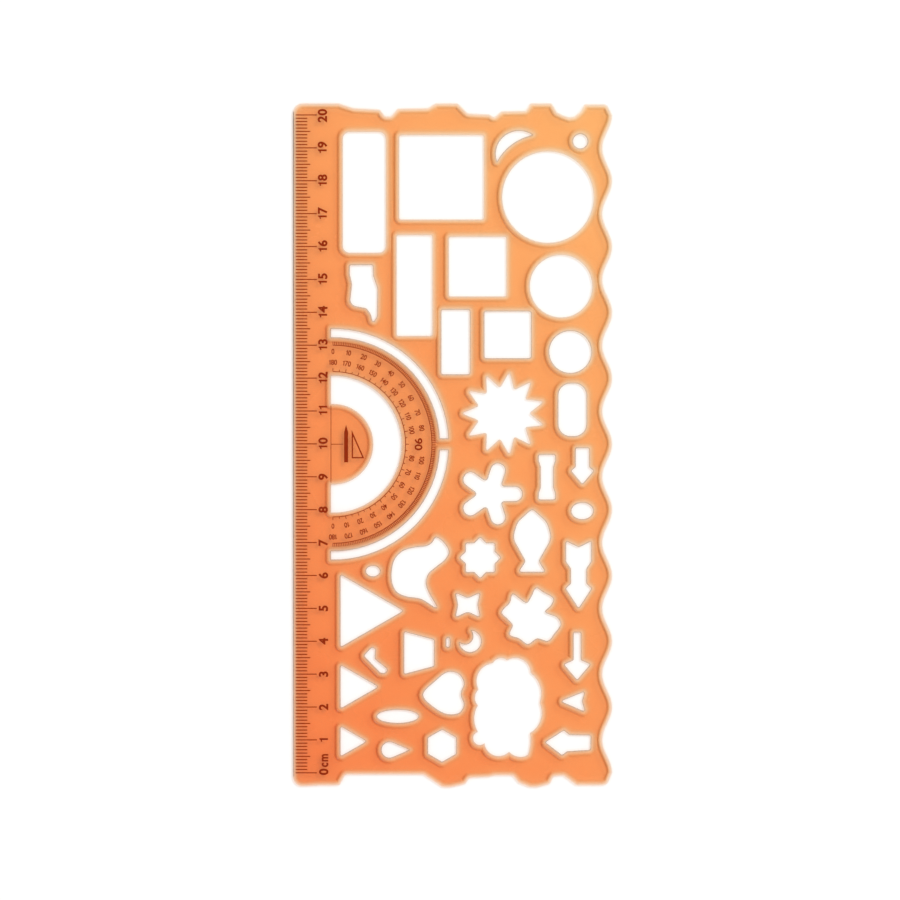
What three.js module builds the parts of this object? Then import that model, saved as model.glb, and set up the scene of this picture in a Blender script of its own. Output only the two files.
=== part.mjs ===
// A drafting template: one flat plastic plate with a 20 cm ruled edge, a protractor, a wavy
// edge and a field of stencil openings, and the graduations that are printed on it.
//
// Drawing coordinates, in millimetres: x runs from the ruled edge across the plate, and y runs
// along the ruled edge from the scale's zero line. The whole group is shifted at the end so
// that its origin is at the middle of the plate's underside. +Z points out of the printed face.

import * as THREE from 'three';

// ---------------------------------------------------------------- driving dimensions

const PLATE_WIDTH = 97.2;
const PLATE_BOTTOM = -3.9;
const PLATE_LOWEST_TAB = -4.5;
const PLATE_TOP = 203.7;
const PLATE_THICKNESS = 1.5;
const INK_THICKNESS = 0.0625;
const INK_LINE = 0.3;

const CHORD_TOLERANCE = 0.03;
const LARGEST_ARC_TURN = 30;
const SHARP_CORNER = 0.35;
const STENCIL_CORNER = 0.5;
const NEARLY_STRAIGHT = 0.12;

const WAVE_PITCH = 20;
const WAVE_COUNT = 10;
const WAVE_HEIGHT = 3.0;
const WAVE_STEPS = 16;

const SCALE_LENGTH = 200;
const TICK_START = 0.9;
const MILLIMETRE_TICK_END = 4.4;
const HALF_TICK_END = 5.3;
const CENTIMETRE_TICK_END = 7.3;
const SCALE_SPINE = 0.1;

const PROTRACTOR = { x: 12.2, y: 99.9 };
const SLOT_LEFT = 11.6;
const INNER_SLOT = { inner: 12.3, outer: 20.8 };
const OUTER_SLOT = { inner: 32.6, outer: 35.1, bridge: 3.6 };
const OUTER_SCALE = { radius: 30.1, reach: 31.2 };
const INNER_SCALE = { radius: 22.1, reach: 22.7, longReach: 23.1 };
const DEGREE_LINE = 0.2;
const DEGREE_ARC_STEP = 5;
const BASE_LINE = { x: 11.6, length: 23.4, tick: 3.7 };
const SET_SQUARE = { x: 17.9, y: 95.6, width: 3.8, height: 8.6, frame: 0.4 };
const PENCIL = { x: 16.2, bottom: 94.4, top: 103.6, tip: 105.8, half: 0.6 };

// ---------------------------------------------------------------- outline helpers
// An outline is a list of Vector2 that runs anticlockwise and doesn't repeat its first point.

const point = (x, y) => new THREE.Vector2(x, y);

const radians = THREE.MathUtils.degToRad;

/**
 * Points on an arc, close enough together for the chord tolerance and the largest turn from
 * one chord to the next. Angles are in degrees.
 */
function arc(cx, cy, radius, start, end) {
  const toleranceTurn = 2 * THREE.MathUtils.radToDeg(
    Math.acos(1 - Math.min(CHORD_TOLERANCE / radius, 0.5)));
  const turn = Math.min(toleranceTurn, LARGEST_ARC_TURN);
  const count = Math.max(2, Math.ceil(Math.abs(end - start) / turn));
  const points = [];
  for (let i = 0; i <= count; i += 1) {
    const angle = radians(start + ((end - start) * i) / count);
    points.push(point(cx + radius * Math.cos(angle), cy + radius * Math.sin(angle)));
  }
  return points;
}

function circle(cx, cy, radius) {
  return arc(cx, cy, radius, 0, 360).slice(0, -1);
}

function ellipse(cx, cy, width, height) {
  return circle(0, 0, width / 2).map((p) => point(cx + p.x, cy + (p.y * height) / width));
}

/**
 * A closed polygon whose corners are rounded. Each corner is [x, y] or [x, y, radius], and one
 * without a radius of its own takes the common one. A corner that turns by less than twice
 * NEARLY_STRAIGHT, in radians, is left as it is.
 */
function rounded(corners, commonRadius = SHARP_CORNER) {
  const outline = [];
  const count = corners.length;
  corners.forEach(([x, y, ownRadius], i) => {
    const [px, py] = corners[(i + count - 1) % count];
    const [nx, ny] = corners[(i + 1) % count];
    const corner = point(x, y);
    const back = point(px, py).sub(corner);
    const ahead = point(nx, ny).sub(corner);
    const backLength = back.length();
    const aheadLength = ahead.length();
    back.normalize();
    ahead.normalize();
    const half = Math.acos(THREE.MathUtils.clamp(back.dot(ahead), -1, 1)) / 2;
    const room = Math.min(backLength, aheadLength) * 0.48;
    const radius = Math.min(ownRadius ?? commonRadius, room * Math.tan(half));
    if (Math.PI / 2 - half < NEARLY_STRAIGHT) {
      outline.push(corner);
      return;
    }
    const bisector = back.clone().add(ahead).normalize();
    const centre = corner.clone().addScaledVector(bisector, radius / Math.sin(half));
    const reach = radius / Math.tan(half);
    const from = corner.clone().addScaledVector(back, reach).sub(centre);
    const to = corner.clone().addScaledVector(ahead, reach).sub(centre);
    const start = THREE.MathUtils.radToDeg(from.angle());
    let turn = THREE.MathUtils.radToDeg(to.angle()) - start;
    if (turn > 180) turn -= 360;
    if (turn < -180) turn += 360;
    outline.push(...arc(centre.x, centre.y, radius, start, start + turn));
  });
  return outline;
}

function box(left, bottom, right, top, radius = STENCIL_CORNER) {
  return rounded([[left, bottom], [right, bottom], [right, top], [left, top]], radius);
}

/** A smooth closed curve through a few points, such as a hand-drawn stencil shape. */
function smooth(points, stepsPerPoint = 6) {
  const curve = new THREE.CatmullRomCurve3(
    points.map(([x, y]) => new THREE.Vector3(x, y, 0)), true, 'centripetal');
  return curve.getPoints(points.length * stepsPerPoint).slice(0, -1)
    .map((p) => point(p.x, p.y));
}

/** Corner points that alternate between two radii, the first at the start angle. */
function star(cx, cy, tipCount, tipRadius, valleyRadius, start, tipCorner, valleyCorner) {
  const corners = [];
  for (let i = 0; i < tipCount * 2; i += 1) {
    const angle = radians(start + (180 / tipCount) * i);
    const isTip = i % 2 === 0;
    const radius = isTip ? tipRadius : valleyRadius;
    corners.push([cx + radius * Math.cos(angle), cy + radius * Math.sin(angle),
      isTip ? tipCorner : valleyCorner]);
  }
  return rounded(corners);
}

function regular(cx, cy, sides, radius, start, corner) {
  const corners = [];
  for (let i = 0; i < sides; i += 1) {
    const angle = radians(start + (360 / sides) * i);
    corners.push([cx + radius * Math.cos(angle), cy + radius * Math.sin(angle)]);
  }
  return rounded(corners, corner);
}

/** The arc between two points that bulges by a given height to the right of its direction. */
function bulge([x0, y0], [x1, y1], height) {
  const chord = Math.hypot(x1 - x0, y1 - y0);
  const radius = (chord * chord) / (8 * height) + height / 2;
  const mid = point((x0 + x1) / 2, (y0 + y1) / 2);
  const right = point((y1 - y0) / chord, (x0 - x1) / chord);
  const centre = mid.addScaledVector(right, height - radius);
  const start = Math.atan2(y0 - centre.y, x0 - centre.x);
  const half = Math.asin(Math.min(1, chord / (2 * radius)));
  const sweep = height > radius ? 2 * (Math.PI - half) : 2 * half;
  const startDegrees = THREE.MathUtils.radToDeg(start);
  return arc(centre.x, centre.y, radius, startDegrees,
    startDegrees + THREE.MathUtils.radToDeg(sweep));
}

/** A ring of outward arcs between cusps, which run anticlockwise as [x, y, height]. */
function scalloped(cusps) {
  const outline = [];
  cusps.forEach(([x, y, height], i) => {
    const next = cusps[(i + 1) % cusps.length];
    outline.push(...bulge([x, y], next, height).slice(0, -1));
  });
  return outline;
}

/** The same outline mirrored in the line x = axis, still anticlockwise. */
function mirrored(corners, axis) {
  return corners.map(([x, y, radius]) => [2 * axis - x, y, radius]).reverse();
}

// ---------------------------------------------------------------- plate outline

function plateOutline() {
  const waveMiddle = PLATE_WIDTH - WAVE_HEIGHT / 2;
  const bottomEdge = [
    [0, -4.4, 3.0],
    [8.0, PLATE_BOTTOM],
    [14.2, PLATE_BOTTOM, 0.6],
    [16.0, -0.6, 0.8],
    [39.8, -0.6, 1.2],
    [45.6, PLATE_LOWEST_TAB, 1.6],
    [48.0, PLATE_LOWEST_TAB],
    [52.5, -3.5, 0.6],
    [53.7, -1.6, 0.9],
    [59.6, -1.4, 1.0],
    [61.4, -0.9, 1.0],
    [67.0, -0.9, 0.8],
    [68.7, -3.1, 1.0],
    [72.2, PLATE_LOWEST_TAB, 1.4],
    [74.4, PLATE_LOWEST_TAB],
    [78.2, -3.5, 0.6],
    [79.4, -1.1, 0.8],
    [82.4, -0.9, 1.0],
    [86.3, PLATE_BOTTOM, 0.8],
    [95.6, PLATE_BOTTOM, 2.0],
  ];
  const wave = [];
  for (let i = 0; i <= WAVE_COUNT * WAVE_STEPS; i += 1) {
    const turn = i / WAVE_STEPS;
    wave.push([waveMiddle + (WAVE_HEIGHT / 2) * Math.cos(2 * Math.PI * turn),
      turn * WAVE_PITCH]);
  }
  const topEdge = [
    [95.6, 203.4, 1.8],
    [88.6, 203.4, 0.8],
    [87.6, 201.3, 0.9],
    [85.6, 199.6, 0.9],
    [84.0, 199.4, 0.6],
    [82.1, 200.1, 0.9],
    [80.4, 200.9, 0.9],
    [78.8, PLATE_TOP, 0.8],
    [72.2, PLATE_TOP, 0.6],
    [71.0, 201.4, 0.9],
    [63.4, 201.3, 1.0],
    [61.3, 199.3, 0.7],
    [59.8, 200.3, 0.9],
    [53.2, 200.6, 1.3],
    [50.2, PLATE_TOP, 0.9],
    [43.5, PLATE_TOP, 0.9],
    [41.0, 202.2, 1.2],
    [31.8, 202.1, 1.1],
    [29.9, 199.7, 1.1],
    [28.0, 199.7, 1.1],
    [26.6, 201.8, 1.1],
    [18.6, 202.2, 1.6],
    [13.9, PLATE_TOP, 1.0],
    [0, PLATE_TOP, 3.0],
  ];
  return rounded([...bottomEdge, ...wave, ...topEdge]);
}

// ---------------------------------------------------------------- stencil openings

function rectangles() {
  return [
    box(15.2, 158.2, 28.2, 194.9, 2.0),
    box(32.4, 168.3, 58.0, 193.9),
    box(31.6, 132.9, 42.4, 163.5),
    box(47.5, 144.9, 64.9, 163.0),
    box(45.2, 121.2, 53.8, 140.8),
    box(58.3, 126.1, 72.4, 140.3),
  ];
}

/** Slots with round ends: the upright stadium and the narrow slit. */
function slots() {
  return [
    box(80.8, 102.4, 89.3, 118.4, 3.6),
    box(46.7, 38.2, 47.7, 41.0, 0.45),
  ];
}

function circles() {
  return [
    circle(87.45, 192.1, 2.2),
    circle(77.6, 175.1, 13.9),
    circle(81.6, 148.0, 9.5),
    circle(84.4, 128.0, 6.4),
  ];
}

function ellipses() {
  return [
    ellipse(88.05, 79.6, 6.6, 5.0),
    ellipse(24.35, 61.3, 4.2, 3.2),
    ellipse(31.9, 17.1, 12.6, 4.0),
  ];
}

/** Three equilateral triangles that point right, with their left sides in line. */
function triangles() {
  const leftSide = 14.5;
  const sizes = [{ y: 49.2, side: 22.0 }, { y: 26.1, side: 13.2 }, { y: 9.5, side: 9.1 }];
  return sizes.map(({ y, side }) => rounded([
    [leftSide, y - side / 2],
    [leftSide + side * Math.cos(radians(30)), y],
    [leftSide, y + side / 2],
  ]));
}

/** Two arcs that share their tips and bulge the same way, as far as the given heights. */
function crescent(from, to, outerHeight, innerHeight) {
  const outer = bulge(from, to, outerHeight);
  const inner = bulge(from, to, innerHeight);
  return [...outer, ...inner.slice(1, -1).reverse()];
}

function crescents() {
  return [
    crescent([72.9, 194.0], [62.1, 185.9], 4.9, 1.5),
    crescent([50.7, 39.5], [54.3, 43.2], 5.3, 2.4),
  ];
}

/** A speech-banner shape: waisted sides and a tail at its lower right. */
function banner() {
  return rounded([
    [17.3, 151.6, 1.5], [18.0, 148.6, 2.0], [17.4, 143.2, 1.6], [18.6, 142.0, 1.2],
    [22.4, 141.3, 1.4], [23.7, 139.4, 1.2], [24.4, 136.8], [25.6, 138.8, 1.5],
    [25.7, 147.4, 2.5], [24.4, 151.0, 1.6], [24.3, 154.4], [17.3, 154.4],
  ]);
}

function bone() {
  const x = 77.3;
  const end = 2.5;
  const waist = 1.85;
  const half = [
    [x + end, 83.1, 0.5], [x + end, 84.9, 0.9], [x + waist, 86.7, 1.2],
    [x + waist, 93.0, 1.2], [x + end, 94.9, 0.9], [x + end, 96.7, 0.5],
  ];
  return rounded([...half, ...mirrored(half, x)]);
}

/** Five club-shaped petals round a centre, the first pointing right. */
function flower() {
  const centre = point(60.1, 84.8);
  const petals = 5;
  const tipReach = 9.6;
  const tipHalfWidth = 2.15;
  const valleyReach = 3.7;
  const corners = [];
  for (let i = 0; i < petals; i += 1) {
    const heading = radians((360 / petals) * i);
    const nextValley = heading + Math.PI / petals;
    [-1, 1].forEach((side) => {
      const corner = point(tipReach, side * tipHalfWidth)
        .rotateAround(point(0, 0), heading).add(centre);
      corners.push([corner.x, corner.y, tipHalfWidth * 0.98]);
    });
    corners.push([centre.x + valleyReach * Math.cos(nextValley),
      centre.y + valleyReach * Math.sin(nextValley), 0.9]);
  }
  return rounded(corners);
}

/** A fish seen from above, nose up. */
function fish() {
  const x = 72.8;
  const half = [
    [x, 80.2, 1.0], [x - 4.4, 76.2, 4.5], [x - 5.9, 71.4, 4.5], [x - 1.9, 64.3, 1.2],
    [x - 4.0, 61.1, 0.4],
  ];
  return rounded([...half, ...mirrored(half.slice(1), x)]);
}

/** An arrow that points down: a shaft, a head and, where it has one, a notched, wider tail. */
function arrow({ x, top, shaft, neck, shoulder, head, tip, fletch }) {
  const half = [[x - shaft, neck, 0.4], [x - head, shoulder], [x, tip]];
  const tail = fletch
    ? [
      [x, top - fletch.notch, 0.5], [x - fletch.half, top],
      [x - fletch.half, top - fletch.side, 0.8], [x - shaft, top - fletch.end, 0.8],
    ]
    : [[x - shaft, top]];
  const left = [...tail, ...half];
  return rounded([...left, ...mirrored(left.slice(fletch ? 1 : 0, -1), x)]);
}

function arrows() {
  return [
    arrow({ x: 88.1, top: 98.7, shaft: 2.0, neck: 93.0, shoulder: 91.8, head: 3.4, tip: 87.8 }),
    arrow({
      x: 86.95, top: 70.4, shaft: 2.3, neck: 57.5, shoulder: 56.0, head: 3.9, tip: 50.0,
      fletch: { notch: 1.9, half: 3.8, side: 6.2, end: 8.4 },
    }),
    arrow({ x: 86.5, top: 42.6, shaft: 1.05, neck: 34.2, shoulder: 32.9, head: 4.0, tip: 28.2 }),
    rounded([
      [76.8, 9.2], [81.9, 5.3], [83.5, 6.5, 0.6], [90.5, 6.9, 0.5], [90.6, 11.3, 0.5],
      [84.2, 11.4, 0.6], [82.4, 12.8],
    ]),
    rounded([[81.5, 21.7], [88.9, 18.5], [87.9, 21.7, 0.5], [88.8, 24.7]]),
  ];
}

function bird() {
  return smooth([
    [43.4, 71.5], [42.4, 70.0], [40.8, 69.0], [37.0, 68.5], [33.4, 67.4], [31.0, 64.9],
    [30.1, 61.6], [30.2, 57.8], [31.7, 54.9], [34.6, 53.6], [38.8, 52.9], [43.7, 50.2],
    [41.4, 54.6], [40.4, 57.6], [41.2, 60.5], [43.8, 62.8], [46.4, 65.0], [47.4, 67.2],
    [46.2, 69.6], [44.6, 71.1],
  ]);
}

/** A heart that lies on its side, with its point to the left. */
function heart() {
  return smooth([
    [39.6, 23.6], [43.3, 19.6], [47.0, 17.8], [50.6, 18.2], [52.0, 20.6], [51.0, 23.9],
    [52.0, 27.2], [50.5, 29.9], [47.2, 30.6], [43.3, 27.8],
  ]);
}

/** A splash of eight uneven lobes. */
function splash() {
  return smooth([
    [63.6, 48.6], [65.4, 46.7], [66.9, 44.8], [66.0, 42.0], [68.9, 40.8], [71.5, 39.1],
    [74.3, 40.8], [77.6, 40.1], [79.5, 42.2], [81.4, 45.1], [80.4, 47.1], [76.7, 48.9],
    [78.5, 50.9], [79.2, 52.9], [76.2, 54.8], [74.0, 56.1], [72.7, 53.8], [71.2, 51.6],
    [69.2, 52.7], [66.9, 54.2], [66.0, 51.6], [64.3, 49.9],
  ]);
}

function cloud() {
  return scalloped([
    [65.2, 34.1, 1.1], [60.9, 33.3, 2.4], [56.5, 25.3, 1.0], [56.3, 20.4, 1.1],
    [56.3, 12.4, 2.5], [58.3, 8.9, 2.5], [65.8, 6.3, 1.0], [71.5, 5.3, 0.4],
    [72.1, 12.0, 1.9], [75.0, 21.2, 1.6], [72.3, 30.3, 2.4],
  ]);
}

/** A round-ended drop with its point to the right. */
function drop() {
  const round = { x: 29.4, y: 6.9, radius: 2.4 };
  const tip = 35.4;
  const tangent = THREE.MathUtils.radToDeg(Math.acos(round.radius / (tip - round.x)));
  return [...arc(round.x, round.y, round.radius, tangent, 360 - tangent), point(tip, round.y)];
}

/** A bent stick with a broad heel, like a hockey stick. */
function stick() {
  return rounded([
    [21.6, 35.5, 0.6], [24.0, 38.1, 0.7], [25.1, 37.6, 0.6], [24.8, 34.6, 0.8],
    [28.9, 31.3, 0.7], [27.9, 30.2, 0.7], [26.6, 30.4, 0.6],
  ].reverse());
}

/** A four-pointed star that is drawn out sideways: its upper and lower hollows are deeper. */
function fourPointStar() {
  const x = 53.2;
  const y = 51.0;
  const tip = 3.7;
  const sideHollow = 2.9;
  const endHollow = 2.0;
  return rounded([
    [x + sideHollow, y, 1.2], [x + tip, y + tip], [x, y + endHollow, 1.8],
    [x - tip, y + tip], [x - sideHollow, y, 1.2], [x - tip, y - tip],
    [x, y - endHollow, 1.8], [x + tip, y - tip],
  ]);
}

function polygons() {
  return [
    regular(45.4, 8.15, 6, 4.9, 90, 0.4),
    star(64.1, 109.3, 11, 12.7, 7.7, 180, 0.3, 0.6),
    star(57.0, 65.4, 8, 6.2, 4.7, 0, 0.4, 0.4),
    rounded([[33.9, 30.0], [42.9, 32.4], [42.9, 40.4], [33.9, 42.8]]),
  ];
}

/** The wide half ring inside the degree scales, closed by a straight side at its left. */
function innerSlot() {
  const { x, y } = PROTRACTOR;
  const { inner, outer } = INNER_SLOT;
  const tilt = (radius) => THREE.MathUtils.radToDeg(Math.acos((SLOT_LEFT - x) / radius));
  return [
    ...arc(x, y, outer, -tilt(outer), tilt(outer)),
    ...arc(x, y, inner, tilt(inner), -tilt(inner)),
  ];
}

/** The narrow half ring outside the degree scales, as two quarters with a bridge between. */
function outerSlots() {
  const { x, y } = PROTRACTOR;
  const { inner, outer, bridge } = OUTER_SLOT;
  const low = (radius) => THREE.MathUtils.radToDeg(Math.asin(bridge / 2 / radius));
  const high = (radius) => THREE.MathUtils.radToDeg(Math.acos((SLOT_LEFT - x) / radius));
  return [1, -1].map((side) => {
    const outline = [
      ...arc(x, y, outer, side * low(outer), side * high(outer)),
      ...arc(x, y, inner, side * high(inner), side * low(inner)),
    ];
    return side === 1 ? outline : outline.reverse();
  });
}

function openings() {
  return [
    ...rectangles(),
    ...slots(),
    ...circles(),
    ...ellipses(),
    ...triangles(),
    ...crescents(),
    ...arrows(),
    ...polygons(),
    ...outerSlots(),
    innerSlot(),
    banner(),
    bone(),
    flower(),
    fish(),
    bird(),
    heart(),
    splash(),
    cloud(),
    drop(),
    stick(),
    fourPointStar(),
  ];
}

// ---------------------------------------------------------------- printed graduations
// Each group of marks is one connected outline, so that its layer of ink is one solid.

/** The millimetre comb of the ruled edge: ticks of three lengths on a hairline spine. */
function rulerGraduations() {
  const spine = TICK_START + SCALE_SPINE;
  const outline = [point(TICK_START, -INK_LINE / 2)];
  for (let y = 0; y <= SCALE_LENGTH; y += 1) {
    let end = MILLIMETRE_TICK_END;
    if (y % 5 === 0) end = HALF_TICK_END;
    if (y % 10 === 0) end = CENTIMETRE_TICK_END;
    if (y > 0) outline.push(point(spine, y - INK_LINE / 2));
    outline.push(point(end, y - INK_LINE / 2), point(end, y + INK_LINE / 2));
    if (y < SCALE_LENGTH) outline.push(point(spine, y + INK_LINE / 2));
  }
  outline.push(point(TICK_START, SCALE_LENGTH + INK_LINE / 2));
  return outline;
}

/**
 * A half circle of line with ticks on its outer side. reachAt gives the radius that the tick
 * at a degree reaches, or nothing where there is no tick.
 */
function degreeScale(radius, reachAt) {
  const { x, y } = PROTRACTOR;
  const half = DEGREE_LINE / 2;
  const polar = (r, degrees) => point(
    x + r * Math.cos(radians(degrees)), y + r * Math.sin(radians(degrees)));
  const halfTick = THREE.MathUtils.radToDeg(half / radius);
  const outer = [];
  const inner = [];
  for (let degree = -90; degree <= 90; degree += 1) {
    const reach = reachAt(degree);
    if (reach !== undefined) {
      outer.push(polar(radius + half, degree - halfTick), polar(reach, degree - halfTick),
        polar(reach, degree + halfTick), polar(radius + half, degree + halfTick));
    }
    if (degree % DEGREE_ARC_STEP === 0) inner.push(polar(radius - half, degree));
  }
  return [...outer, ...inner.reverse()];
}

function outerDegreeScale() {
  return degreeScale(OUTER_SCALE.radius, () => OUTER_SCALE.reach);
}

function innerDegreeScale() {
  const { radius, reach, longReach } = INNER_SCALE;
  return degreeScale(radius, (degree) => {
    if (degree % 10 === 0) return longReach;
    if (degree % DEGREE_ARC_STEP === 0) return reach;
    return undefined;
  });
}

/** The protractor's base line, with a tick from its middle along the 90 degree direction. */
function baseLine() {
  const { x, length, tick } = BASE_LINE;
  const half = DEGREE_LINE / 2;
  return [
    point(x - half, PROTRACTOR.y - length / 2),
    point(x + half, PROTRACTOR.y - length / 2),
    point(x + half, PROTRACTOR.y - half),
    point(x + tick, PROTRACTOR.y - half),
    point(x + tick, PROTRACTOR.y + half),
    point(x + half, PROTRACTOR.y + half),
    point(x + half, PROTRACTOR.y + length / 2),
    point(x - half, PROTRACTOR.y + length / 2),
  ];
}

/** A plain set-square sign: a right triangle drawn as a frame. */
function setSquare() {
  const { x, y, width, height, frame } = SET_SQUARE;
  const triangle = (left, bottom, right, top) => [
    point(left, bottom), point(right, bottom), point(left, top),
  ];
  const slope = Math.hypot(width, height);
  const innerRight = width - frame - (frame * (slope + width)) / height;
  const innerTop = height - frame - (frame * (slope + height)) / width;
  return {
    outline: triangle(x, y, x + width, y + height),
    hole: triangle(x + frame, y + frame, x + frame + innerRight, y + frame + innerTop),
  };
}

/** A plain pencil sign that points along the scale: a body that narrows to its point. */
function pencil() {
  const { x, bottom, top, tip, half } = PENCIL;
  return [
    point(x - half, bottom), point(x + half, bottom), point(x + half, top),
    point(x, tip), point(x - half, top),
  ];
}

// ---------------------------------------------------------------- solids

function extrude(outline, holes, bottom, thickness) {
  const shape = new THREE.Shape(outline);
  shape.holes = holes.map((hole) => new THREE.Path(hole));
  const geometry = new THREE.ExtrudeGeometry(shape, { depth: thickness, bevelEnabled: false });
  return geometry.translate(0, 0, bottom);
}

function part(name, geometry, material) {
  const mesh = new THREE.Mesh(geometry, material);
  mesh.name = name;
  return mesh;
}

const orangePlastic = () => new THREE.MeshStandardMaterial({
  color: 0xf58a4b, roughness: 0.25, metalness: 0,
});

const brownInk = () => new THREE.MeshStandardMaterial({
  color: 0x78300a, roughness: 0.6, metalness: 0,
});

function plate() {
  const geometry = extrude(plateOutline(), openings(), 0, PLATE_THICKNESS);
  return part('template_plate', geometry, orangePlastic());
}

function ink(name, outline, holes = []) {
  const geometry = extrude(outline, holes, PLATE_THICKNESS, INK_THICKNESS);
  return part(name, geometry, brownInk());
}

const setSquareSign = setSquare();

const template = new THREE.Group();
template.add(
  plate(),
  ink('ruler_graduations', rulerGraduations()),
  ink('protractor_outer_scale', outerDegreeScale()),
  ink('protractor_inner_scale', innerDegreeScale()),
  ink('protractor_base_line', baseLine()),
  ink('set_square_sign', setSquareSign.outline, [setSquareSign.hole]),
  ink('pencil_sign', pencil()),
);
template.position.set(-PLATE_WIDTH / 2, -(PLATE_LOWEST_TAB + PLATE_TOP) / 2, 0);

export default template;
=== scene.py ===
"""Looks for a moulded drawing template: a translucent orange plate with bevelled edges, and the
dark brown print on it. Lengths are in metres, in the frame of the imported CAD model, unless a
name says that they are in millimetres."""

import math

import bmesh
import bpy
import numpy as np
from mathutils import Matrix, Vector, geometry


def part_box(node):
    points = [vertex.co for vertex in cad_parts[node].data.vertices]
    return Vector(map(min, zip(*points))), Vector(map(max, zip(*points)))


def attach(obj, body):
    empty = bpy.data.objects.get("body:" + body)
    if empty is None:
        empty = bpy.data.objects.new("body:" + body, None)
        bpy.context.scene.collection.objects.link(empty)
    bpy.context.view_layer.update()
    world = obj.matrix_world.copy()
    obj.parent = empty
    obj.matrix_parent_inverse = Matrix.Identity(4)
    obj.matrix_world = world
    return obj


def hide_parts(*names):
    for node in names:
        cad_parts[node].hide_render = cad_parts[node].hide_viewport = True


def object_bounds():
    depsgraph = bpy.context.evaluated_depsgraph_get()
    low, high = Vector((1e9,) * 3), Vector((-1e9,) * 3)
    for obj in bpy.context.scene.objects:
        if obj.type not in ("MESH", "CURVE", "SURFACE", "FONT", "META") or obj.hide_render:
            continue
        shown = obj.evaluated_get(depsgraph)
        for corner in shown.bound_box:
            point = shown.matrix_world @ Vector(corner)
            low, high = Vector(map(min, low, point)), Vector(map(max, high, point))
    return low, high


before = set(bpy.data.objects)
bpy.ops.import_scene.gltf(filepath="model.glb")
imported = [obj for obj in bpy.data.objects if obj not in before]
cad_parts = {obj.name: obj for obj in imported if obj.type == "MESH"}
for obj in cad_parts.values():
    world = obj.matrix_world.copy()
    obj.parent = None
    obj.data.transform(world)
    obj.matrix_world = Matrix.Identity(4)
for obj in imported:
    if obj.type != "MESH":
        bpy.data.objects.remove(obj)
cad_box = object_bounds()

MM = 0.001

# ---------------------------------------------------------------- driving dimensions

LIP_MM = 0.36           # thickness of the plate at the very edge
SLOPE_WIDTH_MM = 1.2    # straight part of the bevel, from the edge inwards
CREST_WIDTH_MM = 0.4    # where the bevel rounds over into the flat face
RINGS_MM = (0.2, 0.4, 0.8, 1.2, 1.34, 1.48, 1.62, 1.85, 2.15, 2.6)
FIELD_STEP_MM = 0.15    # spacing of the grid that the rings are found on
RING_TOLERANCE_MM = 0.008

LAST_MILLIMETRE = 200    # marks and numbers of the ruled edge, both from 0
LAST_CENTIMETRE = 20
TICK_WIDTH_MM = 0.3
TICK_SHARE = 0.547       # of a centimetre tick's length
HALF_TICK_SHARE = 0.688

# The built-in font, on a type size of one unit.
CAP_HEIGHT = 0.69
SMALL_LETTER_HEIGHT = 0.467
DIGIT_ADVANCE = 0.5
ADVANCE = {"1": 0.4, "c": 0.478}
FLAGGED_ONE = ((0.18, 0.0), (0.32, 0.0), (0.32, 0.69), (0.23, 0.69), (0.17, 0.59),
               (0.05, 0.555), (0.05, 0.45), (0.18, 0.49))
CURVE_POINTS = 4         # along each curved stretch of a character
NUMBER_WEIGHT = 0.033    # what each stroke gains at both sides
DEGREE_WEIGHT = 0.022
NUMBER_SPACING = 0.04    # what each character's advance gains
DEGREE_SPACING = 0.0

DIGIT_HEIGHT_MM = 2.6
DIGIT_SQUEEZE = 1.03     # width against the font's own
NUMBER_GAP_MM = 0.8      # from the zero tick's end to its number
NUMBER_DRIFT_MM = 0.02   # by which the gap narrows from one number to the next
FIRST_SHIFT_MM = 0.3     # how far the first number stands past its tick, towards the far end,
PAIR_SHIFT_MM = 0.2      # the numbers of two digits,
LAST_SHIFT_MM = -0.2     # and the last number
UNIT_X_HEIGHT_MM = 1.8
UNIT_SQUEEZE = 0.82
UNIT_MIDDLE_MM = 3.72    # from the zero tick, along the ruled edge
DEGREE_HEIGHT_MM = 1.5
DEGREE_SQUEEZE = 0.85
OUTER_ROW_MM = (27.4, 28.2)          # a row's reach across the plate and along it
INNER_ROW_MM = (24.3, 24.9)
RIGHT_ANGLE_HEIGHT_MM = 2.2
RIGHT_ANGLE_SQUEEZE = 1.2
RIGHT_ANGLE_MM = (26.0, 26.0)

FLOOR_HALF = 1.5
FLOOR_GAP = 0.0003       # from the plate's underside down to the paper
WORLD_STRENGTH = 0.86
KEY_HEADING = Vector((0.72, 0.69))   # where the key light stands, seen from above
KEY_ELEVATION = math.radians(48)
KEY_DISTANCE = 3.0
KEY_SIZE = 1.3
KEY_POWER = 36.0

SENSOR_WIDTH = 36.0
CAMERA_HEIGHT = 1.2
VIEW_WIDTH = 0.27397     # what the picture spans at the paper
AIM_OFFSET = (-0.00081, -0.00146)

PLATE_LOW, PLATE_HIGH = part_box("template_plate")
THICKNESS_MM = (PLATE_HIGH.z - PLATE_LOW.z) / MM
INK_LOW, INK_HIGH = (corner.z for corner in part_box("ruler_graduations"))

FLAT = 1e-7              # corners this near the highest one belong to the upper face
ON_EDGE_MM = 1e-4        # points this near an edge lie on it
TINY = 1e-9              # keeps a division off zero
MERGE = 1e-6             # points nearer than this become one in a triangulation
WELD = 1e-5              # and in a character's mesh
SMOOTH_COSINE = 0.8      # outlines that turn less than this are shaded as curves


def linear(red, green, blue):
    """A colour given as screen values up to 255, as Blender's linear values."""
    shares = [c / 255 for c in (red, green, blue)]
    return tuple(c / 12.92 if c < 0.04045 else ((c + 0.055) / 1.055) ** 2.4 for c in shares)


PAPER_RADIANCE = 1.04    # of the lit paper, where white is 1


def tint_of(red, green, blue):
    """The tint of one crossing of the plate that makes white paper look that colour: light
    crosses it twice, once on its way down and once on its way back."""
    return (*((c / PAPER_RADIANCE) ** 0.5 for c in linear(red, green, blue)), 1)


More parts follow.
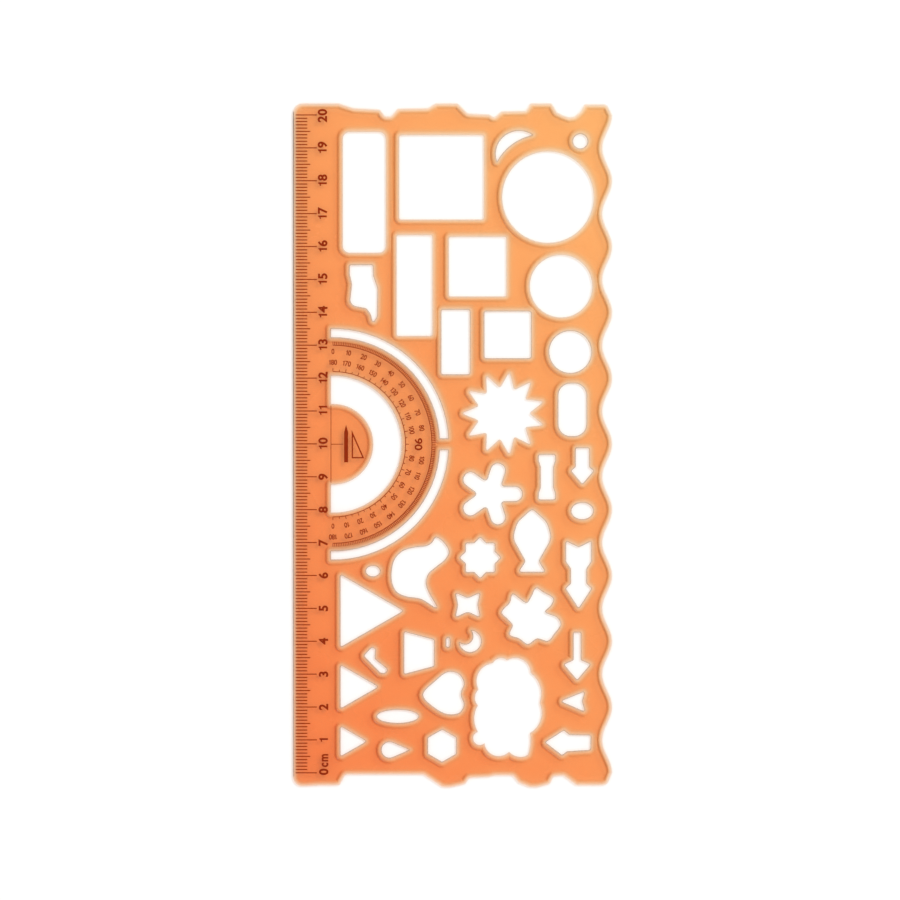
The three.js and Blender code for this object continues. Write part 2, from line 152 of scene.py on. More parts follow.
# The colour deepens from the plate's far right corner to its near left one.
ACROSS_SHARE = 0.43
ALONG_SHARE = 0.57
CLOUD_SCALE = 70.0       # uneven depth of colour, as noise cells a metre
CLOUD_REACH = 0.09
DEEP_TINT = tint_of(252, 126, 54)
PALE_TINT = tint_of(254, 179, 98)
DEEP_HAZE = (*linear(250, 127, 70), 1)
PALE_HAZE = (*linear(252, 177, 108), 1)
HAZE = 0.14              # share of the light that the plastic scatters
WALL_HAZE = 0.5          # the same for the upright lips
RIPPLE_SCALE = 240.0
GRAIN_SCALE = 1800.0
GRAIN_SHARE = 0.12       # of the ripple's height
RIPPLE_STRENGTH = 0.25
RIPPLE_HEIGHT = 0.00006
GLOSS_ROUGHNESS = (0.22, 0.34)
PLASTIC_IOR = 1.49

# Painted shade: shares of light that the edges lose, as dark lines on bevels, crests and lips.
CREST_MM = 1.5           # from the edge to the middle of the crest line
CREST_REACH_MM = 0.55
CREST_PAINTED_SHADE = 0.06        # painted shade on every crest, and how much more where it faces its heading
CREST_FACING_PAINTED_SHADE = 0.37
# the heading that the painted crest shade is strongest towards, on the key light's side
CREST_SHADE_HEADING = (0.93, 0.37)
BEVEL_PAINTED_SHADE = 0.045
LIP_REACH_MM = 0.4
LARGE_LIP_PAINTED_SHADE = 0.16
SMALL_LIP_PAINTED_SHADE = 0.42
OUTER_LIP_PAINTED_SHADE = 0.0
RULED_LIP_PAINTED_SHADE = 0.85
RULED_EDGE_MM = 0.1      # outline this near the plate's left side is its ruled edge
SMALL_OPENING_MM2 = 250

# Shares of the tint that the edges lack or gain, as painted light and shade.
FACING_PAINTED_PALENESS = 0.33   # lacking at the edge of an opening that faces the key light,
AVERTED_PAINTED_PALENESS = 0.67  # of one that faces away,
OUTER_PALENESS = 0.75    # and all round the outside of the plate
FACING_REACH_MM = 1.2    # the widths over which those die out, in the same order
AVERTED_REACH_MM = 2.3
OUTER_REACH_MM = 1.8
CREST_PAINTED_DEPTH = 0.65       # gained along a crest that faces the crest heading, as painted shade
CREST_DEPTH_MM = 1.62
CREST_DEPTH_REACH_MM = 0.7

INK_DARK = (0.21, 0.014, 0.001, 1)
INK_LIGHT = (0.3, 0.028, 0.002, 1)
INK_SCALE = 900.0
SPECKLE_SCALE = 5200.0
SPECKLE_STRENGTH = 0.3
SPECKLE_HEIGHT = 0.00002
INK_ROUGHNESS = (0.5, 0.68)
INK_SPECULAR = 0.06

PAPER_DARK = (0.93, 0.93, 0.925, 1)
PAPER_LIGHT = (0.95, 0.95, 0.945, 1)
PAPER_SCALE = 30.0
PAPER_ROUGHNESS = 0.4


# ---------------------------------------------------------------- outlines of the plate

def top_outlines(node):
    """The edges of a flat CAD solid's upper face, as closed loops in millimetres with the
    material on their left."""
    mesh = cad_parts[node].data
    top = max(v.co.z for v in mesh.vertices)
    key = {v.index: (round(v.co.x / MM, 4), round(v.co.y / MM, 4)) for v in mesh.vertices}
    edges = set()
    mesh.calc_loop_triangles()
    for triangle in mesh.loop_triangles:
        corners = triangle.vertices
        if all(top - mesh.vertices[i].co.z < FLAT for i in corners):
            a, b, c = (key[i] for i in corners)
            edges.update(((a, b), (b, c), (c, a)))
    after = {a: b for a, b in edges if (b, a) not in edges}
    loops = []
    while after:
        start, point = after.popitem()
        loop = [start]
        while point != start:
            loop.append(point)
            point = after.pop(point)
        loops.append(np.array(loop))
    return sorted(loops, key=lambda loop: (-len(loop), tuple(loop.min(0))))


def segments_of(loops):
    """The first and the last point of every edge, in the loops' order."""
    starts = np.concatenate(loops)
    ends = np.concatenate([np.roll(loop, -1, axis=0) for loop in loops])
    return starts, ends


def is_inside(points, loops):
    """True for each point that lies in the material."""
    starts, ends = segments_of(loops)
    crossings = np.zeros(len(points), int)
    for (ax, ay), (bx, by) in zip(starts, ends):
        if ay == by:
            continue
        spans = (points[:, 1] > ay) != (points[:, 1] > by)
        reach = ax + (points[:, 1] - ay) * (bx - ax) / (by - ay)
        crossings += spans & (points[:, 0] < reach)
    return crossings % 2 == 1


def nearest_edges(points, loops):
    """For each point, its distance to the nearest edge, the unit direction away from it, and
    that edge's number. On an edge, the direction is the mean of the inward normals there."""
    starts, ends = segments_of(loops)
    along = ends - starts
    length = np.hypot(along[:, 0], along[:, 1])
    inward = np.stack([-along[:, 1], along[:, 0]], 1) / length[:, None]
    distance = np.full(len(points), np.inf)
    away = np.zeros((len(points), 2))
    touching = np.zeros((len(points), 2))
    nearest = np.zeros(len(points), int)
    for number, (start, step, size, normal) in enumerate(zip(starts, along, length, inward)):
        offset = points - start
        share = np.clip(offset @ step / size ** 2, 0, 1)
        gap = offset - share[:, None] * step
        far = np.hypot(gap[:, 0], gap[:, 1])
        touching[far < ON_EDGE_MM] += normal
        closer = far < distance
        distance[closer] = far[closer]
        away[closer] = gap[closer]
        nearest[closer] = number
    on_edge = distance < ON_EDGE_MM
    away[on_edge] = touching[on_edge]
    size = np.hypot(away[:, 0], away[:, 1])
    return distance, away / np.maximum(size, TINY)[:, None], nearest


# ---------------------------------------------------------------- rings inside the outlines

def depth_field(loops, step, reach):
    """A grid of each point's distance to the nearest edge, up to reach, and below zero outside
    the material. Returns the grid, rows along y, and its first corner."""
    low = loops[0].min(0) - reach
    high = loops[0].max(0) + reach
    xs = np.arange(low[0], high[0], step)
    ys = np.arange(low[1], high[1], step)
    field = np.full((len(ys), len(xs)), reach)
    starts, ends = segments_of(loops)
    for a, b in zip(starts, ends):
        first = np.floor((np.minimum(a, b) - reach - low) / step).astype(int).clip(0)
        last = np.ceil((np.maximum(a, b) + reach - low) / step).astype(int) + 1
        x = xs[first[0]:last[0]][None, :]
        y = ys[first[1]:last[1]][:, None]
        d = b - a
        share = (((x - a[0]) * d[0] + (y - a[1]) * d[1]) / (d @ d)).clip(0, 1)
        far = np.hypot(x - a[0] - share * d[0], y - a[1] - share * d[1])
        window = field[first[1]:last[1], first[0]:last[0]]
        np.minimum(window, far, out=window)
    for row, y in enumerate(ys):
        spans = (starts[:, 1] > y) != (ends[:, 1] > y)
        a, b = starts[spans], ends[spans]
        cuts = np.sort(a[:, 0] + (y - a[:, 1]) * (b[:, 0] - a[:, 0]) / (b[:, 1] - a[:, 1]))
        outside = np.searchsorted(cuts, xs) % 2 == 0
        field[row, outside] *= -1
    return field, low


def contours(field, level, low, step):
    """The closed curves on which a grid passes a level, with the higher side on their left."""
    high = field > level
    corners = (high[:-1, :-1], high[:-1, 1:], high[1:, 1:], high[1:, :-1])
    count = sum(c.astype(int) for c in corners)
    following = {}
    for row, column in zip(*np.nonzero((count > 0) & (count < 4))):
        nodes = ((row, column), (row, column + 1), (row + 1, column + 1), (row + 1, column))
        states = [high[node] for node in nodes]
        sides = [tuple(sorted((nodes[k], nodes[(k + 1) % 4]))) for k in range(4)]
        for k in range(4):
            if states[k] and not states[(k + 1) % 4]:
                back = k
                while states[back]:
                    back = (back - 1) % 4
                following[sides[k]] = sides[back]

    def crossing(side):
        (r0, c0), (r1, c1) = side
        share = (level - field[r0, c0]) / (field[r1, c1] - field[r0, c0])
        return (low[0] + (c0 + share * (c1 - c0)) * step,
                low[1] + (r0 + share * (r1 - r0)) * step)

    curves = []
    while following:
        start, side = following.popitem()
        curve = [crossing(start)]
        while side != start:
            curve.append(crossing(side))
            side = following.pop(side)
        curves.append(np.array(curve))
    return curves


def simplified(curve, tolerance):
    """The closed curve with only the points that keep it within the tolerance."""
    opposite = int(np.argmax(np.hypot(*(curve - curve[0]).T)))
    closed = np.vstack([curve, curve[:1]])
    keep = {0, opposite}
    spans = [(0, opposite), (opposite, len(curve))]
    while spans:
        first, last = spans.pop()
        if last - first < 2:
            continue
        chord = closed[last] - closed[first]
        offset = closed[first + 1:last] - closed[first]
        size = np.hypot(*chord)
        if size < TINY:
            far = np.hypot(*offset.T)
        else:
            far = np.abs(offset[:, 0] * chord[1] - offset[:, 1] * chord[0]) / size
        worst = int(np.argmax(far))
        if far[worst] > tolerance:
            middle = first + 1 + worst
            keep.add(middle)
            spans += [(first, middle), (middle, last)]
    return curve[sorted(keep - {len(curve)})]


# ---------------------------------------------------------------- plate

def surface_at(depth):
    """Height in millimetres and slope of the plate's upper surface, at a distance from its
    edge: a straight bevel that rounds over into the flat face."""
    rise = THICKNESS_MM - LIP_MM
    slope = rise / (SLOPE_WIDTH_MM + CREST_WIDTH_MM / 2)
    over = np.clip(depth - SLOPE_WIDTH_MM, 0, CREST_WIDTH_MM)
    height = LIP_MM + slope * (np.minimum(depth, SLOPE_WIDTH_MM) + over)
    height = height - slope * over ** 2 / (2 * CREST_WIDTH_MM)
    return height, slope * (1 - over / CREST_WIDTH_MM)


def triangulated(loops):
    """Points and triangles that fill the material between closed loops, with every loop's
    edges kept, and each loop point's place among the points."""
    points = [Vector(p) for loop in loops for p in loop]
    edges = []
    first = 0
    for loop in loops:
        count = len(loop)
        edges += [(first + i, first + (i + 1) % count) for i in range(count)]
        first += count
    found, _, faces, origins, _, _ = geometry.delaunay_2d_cdt(points, edges, [], 0, MERGE)
    place = {}
    for index, sources in enumerate(origins):
        for source in sources:
            place[source] = index
    return np.array([tuple(p) for p in found]), faces, place


def filled(loops, outlines):
    """What triangulated() gives, without the triangles that lie outside the material."""
    points, faces, place = triangulated(loops)
    centres = np.array([points[list(face)].mean(0) for face in faces])
    faces = [face for face, kept in zip(faces, is_inside(centres, outlines)) if kept]
    return points, faces, place


def shading(outlines, depth, away, nearest):
    """Two values for each point of the upper surface, both painted light and shade. The first
    is the share of light that it loses, as painted shade: a little on the bevel, a dark line at
    its crest that is strongest towards the crest heading, and a fine dark line along the lips
    of openings and of the ruled edge. The second is the share of its thickness that tints the
    light, which is less towards the edges: paler by painted amounts, which at openings follow
    the way each edge faces the key light, and deeper along crests that face the crest heading,
    as painted shade."""
    def near(middle, reach):
        return np.clip(1 - np.abs(depth - middle) / reach, 0, 1)

    lip = []
    outer = []
    left = PLATE_LOW.x / MM + RULED_EDGE_MM
    for loop in outlines:
        following = np.roll(loop, -1, axis=0)
        enclosed = (loop[:, 0] * following[:, 1] - following[:, 0] * loop[:, 1]).sum() / 2
        ruled = (loop[:, 0] < left) & (following[:, 0] < left)
        small = -enclosed < SMALL_OPENING_MM2
        usual = OUTER_LIP_PAINTED_SHADE if enclosed > 0 else SMALL_LIP_PAINTED_SHADE if small else LARGE_LIP_PAINTED_SHADE
        lip.append(np.where(ruled, RULED_LIP_PAINTED_SHADE, usual))
        outer.append(np.full(len(loop), enclosed > 0))
    lip = np.concatenate(lip)[nearest]
    outer = np.concatenate(outer)[nearest]

    facing = -away @ np.array(KEY_HEADING)
    # painted shade: dark lines along crests, most towards the crest heading, on bevels and at
    # lips
    lined = (-away @ np.array(CREST_SHADE_HEADING)).clip(0)
    crest = near(CREST_MM, CREST_REACH_MM) * (CREST_PAINTED_SHADE + CREST_FACING_PAINTED_SHADE * lined)
    bevel = BEVEL_PAINTED_SHADE * np.clip((CREST_MM - depth) / CREST_WIDTH_MM, 0, 1)
    painted_shade = np.clip(crest + bevel + near(0, LIP_REACH_MM) * lip, 0, 1)

    # painted light: the edges of openings pale by how they face the key light; crests deepen as
    # painted shade
    averted = (1 - facing) / 2
    pale = FACING_PAINTED_PALENESS + (AVERTED_PAINTED_PALENESS - FACING_PAINTED_PALENESS) * averted
    reach = FACING_REACH_MM + (AVERTED_REACH_MM - FACING_REACH_MM) * averted
    pale = np.where(outer, OUTER_PALENESS, pale)
    reach = np.where(outer, OUTER_REACH_MM, reach)
    deep = CREST_PAINTED_DEPTH * near(CREST_DEPTH_MM, CREST_DEPTH_REACH_MM) * lined
    tint_depth_with_painted_light = 1 - pale * np.clip(1 - depth / reach, 0, 1) + deep
    return painted_shade, tint_depth_with_painted_light


def ring_loops(outlines):
    """Closed curves inside the material, at each ring's distance from the edges."""
    field, low = depth_field(outlines, FIELD_STEP_MM, RINGS_MM[-1] + 2 * FIELD_STEP_MM)
    rings = []
    for depth in RINGS_MM:
        for curve in contours(field, depth, low, FIELD_STEP_MM):
            ring = simplified(curve, RING_TOLERANCE_MM)
            if len(ring) > 3:
                rings.append(ring)
    return rings


def lip_faces(outlines, lower_place, upper_place):
    """The upright faces round every edge, each with the normals of its four corners, which
    blend along curves. Each place gives an outline point's vertex, below or above."""
    faces = []
    normals = []
    first = 0
    for loop in outlines:
        count = len(loop)
        along = np.roll(loop, -1, axis=0) - loop
        out = np.stack([along[:, 1], -along[:, 0]], 1)
        out /= np.hypot(*out.T)[:, None]
        for i in range(count):
            j = (i + 1) % count
            faces.append((lower_place[first + i], lower_place[first + j],
                          upper_place[first + j], upper_place[first + i]))
            ends = []
            for beside in (out[i - 1], out[j]):
                smooth = out[i] @ beside > SMOOTH_COSINE
                blended = out[i] + beside if smooth else out[i]
                ends.append((*(blended / np.hypot(*blended)), 0))
            normals += [ends[0], ends[1], ends[1], ends[0]]
        first += count
    return faces, normals


def plate_mesh():
    """The plate as one closed mesh: a flat underside, thin upright lips round every edge, and
    a bevel that climbs from each lip to the flat upper face. Its attributes lost and tinting
    are the two values of shading()."""
    outlines = top_outlines("template_plate")
    upper, upper_faces, upper_place = filled(outlines + ring_loops(outlines), outlines)
    lower, lower_faces, lower_place = filled(outlines, outlines)
    depth, away, nearest = nearest_edges(upper, outlines)
    height, slope = surface_at(depth)

    base = PLATE_LOW.z
    vertices = [(x * MM, y * MM, base + z * MM) for (x, y), z in zip(upper, height)]
    vertices += [(x * MM, y * MM, base) for x, y in lower]

    faces = [tuple(face) for face in upper_faces]
    tilted = np.column_stack([-away * slope[:, None], np.ones(len(upper))])
    tilted /= np.linalg.norm(tilted, axis=1)[:, None]
    normals = [tilted[i] for face in upper_faces for i in face]

    faces += [tuple(len(upper) + i for i in reversed(face)) for face in lower_faces]
    normals += [(0, 0, -1)] * (3 * len(lower_faces))

    lower_place = {point: len(upper) + index for point, index in lower_place.items()}
    upright_faces, upright_normals = lip_faces(outlines, lower_place, upper_place)
    faces += upright_faces
    normals += upright_normals

    used = np.zeros(len(vertices), bool)
    used[[i for face in faces for i in face]] = True
    if not used.all():
        raise ValueError("the plate's triangulation left loose points")

    mesh = bpy.data.meshes.new("translucent_plate")
    mesh.from_pydata(vertices, [], faces)
    mesh.polygons.foreach_set("use_smooth", [True] * len(mesh.polygons))
    painted_shade, tint_depth_with_painted_light = shading(outlines, depth, away, nearest)
    for name, upper_values, lower_value in (("painted_shade", painted_shade, 0.0), ("tint_depth_with_painted_light", tint_depth_with_painted_light, 1.0)):
        values = np.concatenate([upper_values, np.full(len(lower), lower_value)])
        mesh.attributes.new(name, "FLOAT", "POINT").data.foreach_set("value", values)
    mesh.normals_split_custom_set([tuple(float(c) for c in normal) for normal in normals])
    mesh.validate()
    return mesh


# ---------------------------------------------------------------- print

def bars_mesh(name, bars, low, high):
    """Thin printed bars as closed boxes. Each is the four corners of its plan, anticlockwise."""
    vertices = []
    faces = []
    for corners in bars:
        n = len(vertices)
        vertices += [(x, y, low) for x, y in corners]
        vertices += [(x, y, high) for x, y in corners]
        faces += [(n + 3, n + 2, n + 1, n), (n + 4, n + 5, n + 6, n + 7)]
        faces += [(n + k, n + (k + 1) % 4, n + 4 + (k + 1) % 4, n + 4 + k) for k in range(4)]
    mesh = bpy.data.meshes.new(name)
    mesh.from_pydata(vertices, [], faces)
    return mesh


def glyph(character, weight):
    """A character as a closed mesh one unit thick, on a type size of one unit. The built-in
    font's own 1 is a plain bar, so that one is drawn here."""
    shape = bmesh.new()
    if character == "1":
        outline = [shape.verts.new((x, y, -0.5)) for x, y in FLAGGED_ONE]
        face = shape.faces.new(outline)
        raised = bmesh.ops.extrude_face_region(shape, geom=[face])["geom"]
        moved = [item for item in raised if isinstance(item, bmesh.types.BMVert)]
        bmesh.ops.translate(shape, verts=moved, vec=(0, 0, 1))
    else:
        curve = bpy.data.curves.new("text", "FONT")
        curve.body = character
        curve.resolution_u = CURVE_POINTS
        curve.fill_mode = "BOTH"
        curve.extrude = 0.5
        curve.offset = weight
        holder = bpy.data.objects.new("text", curve)
        bpy.context.scene.collection.objects.link(holder)
        graph = bpy.context.evaluated_depsgraph_get()
        flat = bpy.data.meshes.new_from_object(holder.evaluated_get(graph))
        shape.from_mesh(flat)
        bpy.data.meshes.remove(flat)
        bpy.data.objects.remove(holder)
        bpy.data.curves.remove(curve)
        bmesh.ops.remove_doubles(shape, verts=shape.verts, dist=WELD)
    bmesh.ops.triangulate(shape, faces=shape.faces)
    bmesh.ops.recalc_face_normals(shape, faces=shape.faces)
    mesh = bpy.data.meshes.new("glyph")
    shape.to_mesh(mesh)
    shape.free()
    return mesh


def lettering_mesh(name, runs, low, high, weight, spacing):
    """Printed characters as one mesh. Each run is its text, its cap height and squeeze, the
    middle of it, and the angle that it is turned by."""
    lettering = bmesh.new()
    characters = sorted(set("".join(run[0] for run in runs)))
    font = {character: glyph(character, weight) for character in characters}
    for text, height, squeeze, middle, turn in runs:
        starts = [0]
        for character in text:
            starts.append(starts[-1] + ADVANCE.get(character, DIGIT_ADVANCE) + spacing)
        points = [(start + v.co.x, v.co.y) for start, character in zip(starts, text)
                  for v in font[character].vertices]
        centre = (np.min(points, axis=0) + np.max(points, axis=0)) / 2
        size = height / CAP_HEIGHT
        scale = Matrix.Diagonal((size * squeeze, size, high - low, 1))
        place = Matrix.Translation((middle[0], middle[1], (low + high) / 2))
        for start, character in zip(starts, text):
            mesh = font[character].copy()
            inset = Matrix.Translation((start - centre[0], -centre[1], 0))
            mesh.transform(place @ Matrix.Rotation(turn, 4, "Z") @ scale @ inset)
            lettering.from_mesh(mesh)
            bpy.data.meshes.remove(mesh)
    for mesh in font.values():
        bpy.data.meshes.remove(mesh)
    mesh = bpy.data.meshes.new(name)
    lettering.to_mesh(mesh)
    lettering.free()
    return mesh


def ruler_span():
    """The middle of the zero tick, along the ruled edge, and the way from there to the last
    tick."""
    low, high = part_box("ruler_graduations")
    half = TICK_WIDTH_MM * MM / 2
    return low.y + half, high.y - low.y - 2 * half


def ruler_tick_bars():
    """The millimetre, half-centimetre and centimetre marks of the ruled edge."""
    low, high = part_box("ruler_graduations")
    start = low.x
    reach = high.x - low.x
    half = TICK_WIDTH_MM * MM / 2
    first, span = ruler_span()
    step = span / LAST_MILLIMETRE
    bars = []
    for k in range(LAST_MILLIMETRE + 1):
        share = 1 if k % 10 == 0 else HALF_TICK_SHARE if k % 5 == 0 else TICK_SHARE
        y = first + k * step
        end = start + share * reach
        bars.append(((start, y - half), (end, y - half), (end, y + half), (start, y + half)))
    return bars


def ruler_runs():
    """The numbers of the ruled edge, which are read with that edge at their top."""
    tick_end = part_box("ruler_graduations")[1].x
    first, span = ruler_span()
    centimetre = span / LAST_CENTIMETRE
    shifts = {0: FIRST_SHIFT_MM, LAST_CENTIMETRE: LAST_SHIFT_MM}
    runs = []
    for n in range(LAST_CENTIMETRE + 1):
        middle_x = tick_end + (NUMBER_GAP_MM - n * NUMBER_DRIFT_MM + DIGIT_HEIGHT_MM / 2) * MM
        shift = shifts.get(n, PAIR_SHIFT_MM if n > 9 else 0)
        place = (middle_x, first + n * centimetre + shift * MM)
        runs.append((str(n), DIGIT_HEIGHT_MM * MM, DIGIT_SQUEEZE, place, math.pi / 2))
    unit_x = tick_end + (NUMBER_GAP_MM + DIGIT_HEIGHT_MM - UNIT_X_HEIGHT_MM / 2) * MM
    height = UNIT_X_HEIGHT_MM * MM * CAP_HEIGHT / SMALL_LETTER_HEIGHT
    place = (unit_x, first + UNIT_MIDDLE_MM * MM)
    runs.append(("cm", height, UNIT_SQUEEZE, place, math.pi / 2))
    return runs


def protractor_runs():
    """Both rows of degrees round the protractor, which are read from its centre, and the one
    large number at the right angle."""
    low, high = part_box("protractor_outer_scale")
    radius = (high.y - low.y) / 2
    centre = Vector((high.x - radius, (low.y + high.y) / 2))
    runs = []

    def add(text, height, squeeze, reach, degrees):
        angle = math.radians(90 - degrees)
        offset = Vector((reach[0] * math.cos(angle), reach[1] * math.sin(angle))) * MM
        runs.append((text, height * MM, squeeze, centre + offset, angle - math.pi / 2))

    for degrees in range(0, 181, 10):
        if degrees == 90:
            add("90", RIGHT_ANGLE_HEIGHT_MM, RIGHT_ANGLE_SQUEEZE, RIGHT_ANGLE_MM, degrees)
            continue
        add(str(degrees), DEGREE_HEIGHT_MM, DEGREE_SQUEEZE, OUTER_ROW_MM, degrees)
        add(str(180 - degrees), DEGREE_HEIGHT_MM, DEGREE_SQUEEZE, INNER_ROW_MM, degrees)
    return runs


# ---------------------------------------------------------------- materials

class Nodes:
    """Short ways to add and join shader nodes."""

    def __init__(self, name):
        self.material = bpy.data.materials.new(name)
        self.material.use_nodes = True
        self.tree = self.material.node_tree
        self.tree.nodes.clear()

    def add(self, kind, inputs=(), **settings):
        node = self.tree.nodes.new("ShaderNode" + kind)
        for key, value in settings.items():
            setattr(node, key, value)
        for key, value in dict(inputs).items():
            if isinstance(value, bpy.types.NodeSocket):
                self.tree.links.new(value, node.inputs[key])
            else:
                node.inputs[key].default_value = value
        return node

    def maths(self, operation, a, b, clamp=False):
        node = self.add("Math", {0: a, 1: b}, operation=operation, use_clamp=clamp)
        return node.outputs[0]

    def noise(self, place, scale, detail=2.0):
        node = self.add("TexNoise", {"Vector": place, "Scale": scale, "Detail": detail})
        return node.outputs["Fac"]

    def between(self, value, low, high):
        """value, which runs from 0 to 1, spread from low to high."""
        inputs = {"Value": value, "To Min": low, "To Max": high}
        return self.add("MapRange", inputs).outputs[0]

    def mixed(self, share, a, b):
        node = self.add("Mix", {0: share, 6: a, 7: b}, data_type="RGBA")
        return node.outputs[2]

    def bump(self, height, strength, distance):
        inputs = {"Height": height, "Strength": strength, "Distance": distance}
        return self.add("Bump", inputs).outputs[0]

    def finish(self, shader):
        self.add("OutputMaterial", {"Surface": shader})
        return self.material


def orange_plastic():
    """Clear orange plastic. Light that crosses it is tinted by the thickness under each point
    of the upper face, so the bevels pale towards their edges; painted light and shade from the
    plate's attributes pale them further and draw the crests and lips as dark lines."""
    n = Nodes("orange_plastic")
    place = n.add("TexCoord").outputs["Object"]
    axes = n.add("SeparateXYZ", {0: place}).outputs
    size = PLATE_HIGH - PLATE_LOW
    along_x = n.maths("DIVIDE", n.maths("SUBTRACT", axes[0], PLATE_LOW.x), size.x)
    along_y = n.maths("DIVIDE", n.maths("SUBTRACT", axes[1], PLATE_LOW.y), size.y)
    across = n.maths("MULTIPLY", along_x, ACROSS_SHARE)
    corner = n.maths("ADD", across, n.maths("MULTIPLY", along_y, ALONG_SHARE))
    cloudy = n.noise(place, CLOUD_SCALE, 3.0)
    corner = n.maths("ADD", corner, n.between(cloudy, -CLOUD_REACH, CLOUD_REACH), clamp=True)
    tint = n.mixed(corner, DEEP_TINT, PALE_TINT)

    share = n.maths("DIVIDE", n.maths("SUBTRACT", axes[2], PLATE_LOW.z), size.z, clamp=True)
    facing = n.add("SeparateXYZ", {0: n.add("NewGeometry").outputs["True Normal"]}).outputs[2]
    upright = n.maths("LESS_THAN", n.maths("ABSOLUTE", facing, 0.0), 0.5)
    # painted light and shade from the plate's attribute: edges paler or deeper in tint by the
    # key light's heading
    tint_depth_with_painted_light = n.add("Attribute", attribute_name="tint_depth_with_painted_light").outputs["Fac"]
    path = n.maths("MULTIPLY", share, tint_depth_with_painted_light)
    crossed = n.add("Gamma", {"Color": tint, "Gamma": path}).outputs[0]
    # painted shade from the plate's attribute, which darkens the clear tint, the haze and the
    # gloss
    painted_shade = n.add("Attribute", attribute_name="painted_shade").outputs["Fac"]
    kept = n.maths("SUBTRACT", 1.0, painted_shade, clamp=True)
    crossed = n.add("VectorMath", {0: crossed, "Scale": kept}, operation="SCALE").outputs[0]
    clear = n.add("BsdfTransparent", {"Color": crossed}).outputs[0]

    ripple = n.noise(place, RIPPLE_SCALE)
    grain = n.noise(place, GRAIN_SCALE)
    height = n.maths("ADD", ripple, n.maths("MULTIPLY", grain, GRAIN_SHARE))
    bump = n.bump(height, RIPPLE_STRENGTH, RIPPLE_HEIGHT)
    haze = n.add("BsdfDiffuse", {"Color": n.mixed(corner, DEEP_HAZE, PALE_HAZE), "Normal": bump})
    walls = n.maths("MULTIPLY", upright, WALL_HAZE)
    scattered = n.maths("ADD", n.maths("MULTIPLY", share, HAZE), walls)
    scattered = n.maths("MULTIPLY", scattered, kept)
    body = n.add("MixShader", {0: scattered, 1: clear, 2: haze.outputs[0]}).outputs[0]

    roughness = n.between(cloudy, *GLOSS_ROUGHNESS)
    gloss = n.add("BsdfGlossy", {"Color": (1, 1, 1, 1), "Roughness": roughness, "Normal": bump})
    mirror = n.add("Fresnel", {"IOR": PLASTIC_IOR, "Normal": bump}).outputs[0]
    front = n.maths("SUBTRACT", 1.0, n.add("NewGeometry").outputs["Backfacing"])
    shine = n.maths("MULTIPLY", n.maths("MULTIPLY", mirror, front), kept)
    whole = n.add("MixShader", {0: shine, 1: body, 2: gloss.outputs[0]}).outputs[0]
    return n.finish(whole)


def brown_ink():
    """Matt dark brown print, a little uneven in density."""
    n = Nodes("brown_ink")
    place = n.add("TexCoord").outputs["Object"]
    uneven = n.noise(place, INK_SCALE, 3.0)
    speckle = n.noise(place, SPECKLE_SCALE, 1.0)
    shader = n.add("BsdfPrincipled", {
        "Base Color": n.mixed(uneven, INK_DARK, INK_LIGHT),
        "Roughness": n.between(uneven, *INK_ROUGHNESS),
        "Specular IOR Level": INK_SPECULAR,
        "Normal": n.bump(speckle, SPECKLE_STRENGTH, SPECKLE_HEIGHT),
    })
    return n.finish(shader.outputs[0])


def backdrop():
    """Plain white paper, a little uneven in tone."""
    n = Nodes("backdrop")
    place = n.add("TexCoord").outputs["Object"]
    colour = n.mixed(n.noise(place, PAPER_SCALE), PAPER_DARK, PAPER_LIGHT)
    paper = n.add("BsdfDiffuse", {"Color": colour, "Roughness": PAPER_ROUGHNESS})
    return n.finish(paper.outputs[0])


# ---------------------------------------------------------------- pieces

def piece(name, mesh, material, slot, *nodes):
    """Adds a piece that rides on the one body, in place of any CAD nodes that are named."""
    added = bpy.data.objects.new(name, mesh)
    bpy.context.scene.collection.objects.link(added)
    mesh.materials.append(material)
    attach(added, "root")
    if nodes:
        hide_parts(*nodes)


plastic = orange_plastic()
ink = brown_ink()

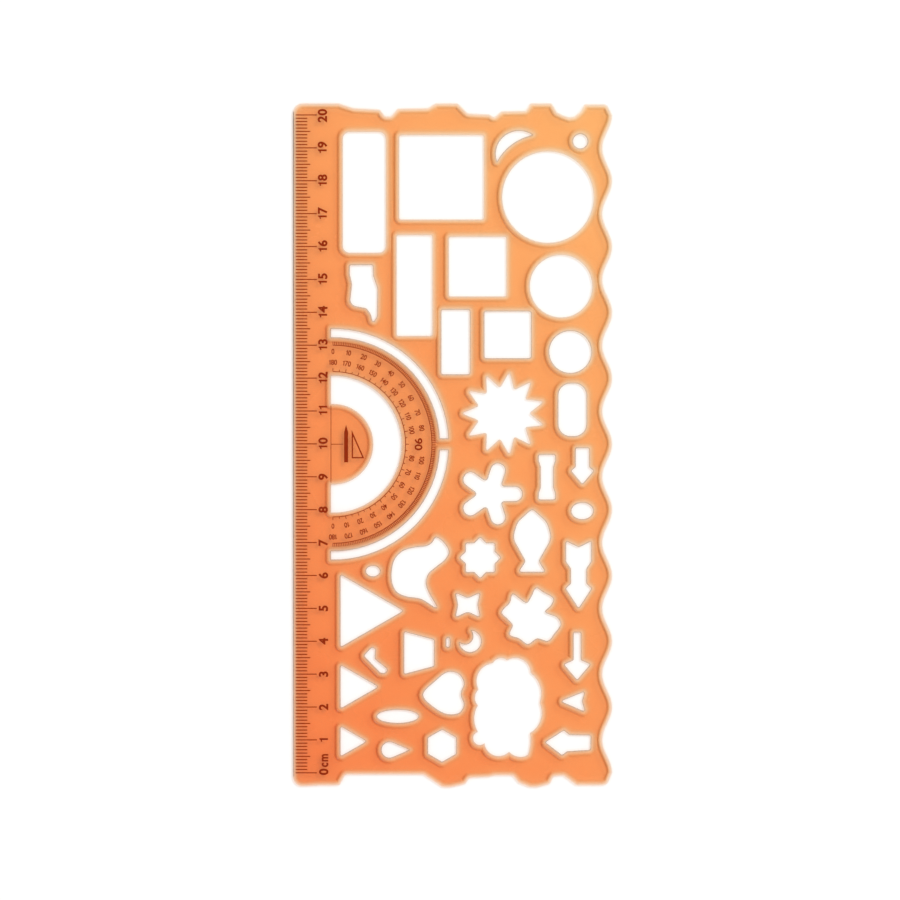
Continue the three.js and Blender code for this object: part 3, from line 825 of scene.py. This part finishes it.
piece("translucent_plate", plate_mesh(), plastic, "orange_plastic", "template_plate")
ticks = bars_mesh("ruler_ticks", ruler_tick_bars(), INK_LOW, INK_HIGH)
piece("ruler_ticks", ticks, ink, "brown_ink", "ruler_graduations")
for name, runs, weight, spacing in (
        ("ruler_numbers", ruler_runs(), NUMBER_WEIGHT, NUMBER_SPACING),
        ("protractor_numbers", protractor_runs(), DEGREE_WEIGHT, DEGREE_SPACING)):
    mesh = lettering_mesh(name, runs, INK_LOW, INK_HIGH, weight, spacing)
    piece(name, mesh, ink, "brown_ink")
for name in ("protractor_outer_scale", "protractor_inner_scale", "protractor_base_line",
             "set_square_sign", "pencil_sign"):
    for material_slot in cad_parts[name].material_slots:
        material_slot.material = ink


# ---------------------------------------------------------------- stage, light and camera

floor_mesh = bpy.data.meshes.new("paper")
corners = [(x * FLOOR_HALF, y * FLOOR_HALF, -FLOOR_GAP) for x, y in
           ((-1, -1), (1, -1), (1, 1), (-1, 1))]
floor_mesh.from_pydata(corners, [], [(0, 1, 2, 3)])
floor_mesh.materials.append(backdrop())
floor = bpy.data.objects.new("paper", floor_mesh)
bpy.context.scene.collection.objects.link(floor)

world = bpy.data.worlds.new("studio")
world.use_nodes = True
world.node_tree.nodes["Background"].inputs["Color"].default_value = (1, 1, 1, 1)
world.node_tree.nodes["Background"].inputs["Strength"].default_value = WORLD_STRENGTH
bpy.context.scene.world = world

key = bpy.data.lights.new("key", "AREA")
key.shape = "DISK"
key.size = KEY_SIZE
key.energy = KEY_POWER
key_light = bpy.data.objects.new("key", key)
heading = KEY_HEADING.normalized() * math.cos(KEY_ELEVATION)
toward = Vector((heading.x, heading.y, math.sin(KEY_ELEVATION)))
key_light.location = toward * KEY_DISTANCE
key_light.rotation_euler = toward.to_track_quat("Z", "Y").to_euler()
bpy.context.scene.collection.objects.link(key_light)

middle = (cad_box[0] + cad_box[1]) / 2
camera = bpy.data.cameras.new("camera")
camera.sensor_width = SENSOR_WIDTH
camera.lens = SENSOR_WIDTH * CAMERA_HEIGHT / VIEW_WIDTH
viewpoint = bpy.data.objects.new("camera", camera)
viewpoint.location = (middle.x + AIM_OFFSET[0], middle.y + AIM_OFFSET[1], CAMERA_HEIGHT)
bpy.context.scene.collection.objects.link(viewpoint)
bpy.context.scene.camera = viewpoint
bpy.context.scene.view_settings.view_transform = "Standard"
